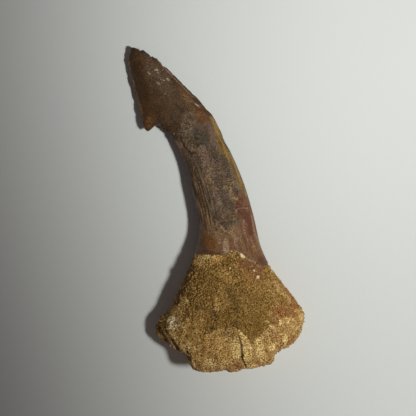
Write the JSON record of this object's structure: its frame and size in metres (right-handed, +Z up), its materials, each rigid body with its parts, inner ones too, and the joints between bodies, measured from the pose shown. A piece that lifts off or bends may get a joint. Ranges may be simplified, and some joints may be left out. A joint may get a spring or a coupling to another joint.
{
  "type": "fossil sawfish rostral tooth",
  "caption": "Fossil tooth lying on its flat side: thin barbed blade with a broken tip, bent oval shaft and a flared, gritty root with a ragged rim and a hollow base.",
  "frame": {"origin": "centre of the tooth's bounding box, on the surface it lies on", "axes": "+X to the right, away from the barb; +Y from the root's rim to the crown's tip; +Z up, away from the surface the tooth lies on"},
  "size_m": [0.0304, 0.0554, 0.0109],
  "materials": {
    "fossil": "satin"
  },
  "bodies": {
    "root": {"tooth": "fossil"}
  },
  "joints": []
}
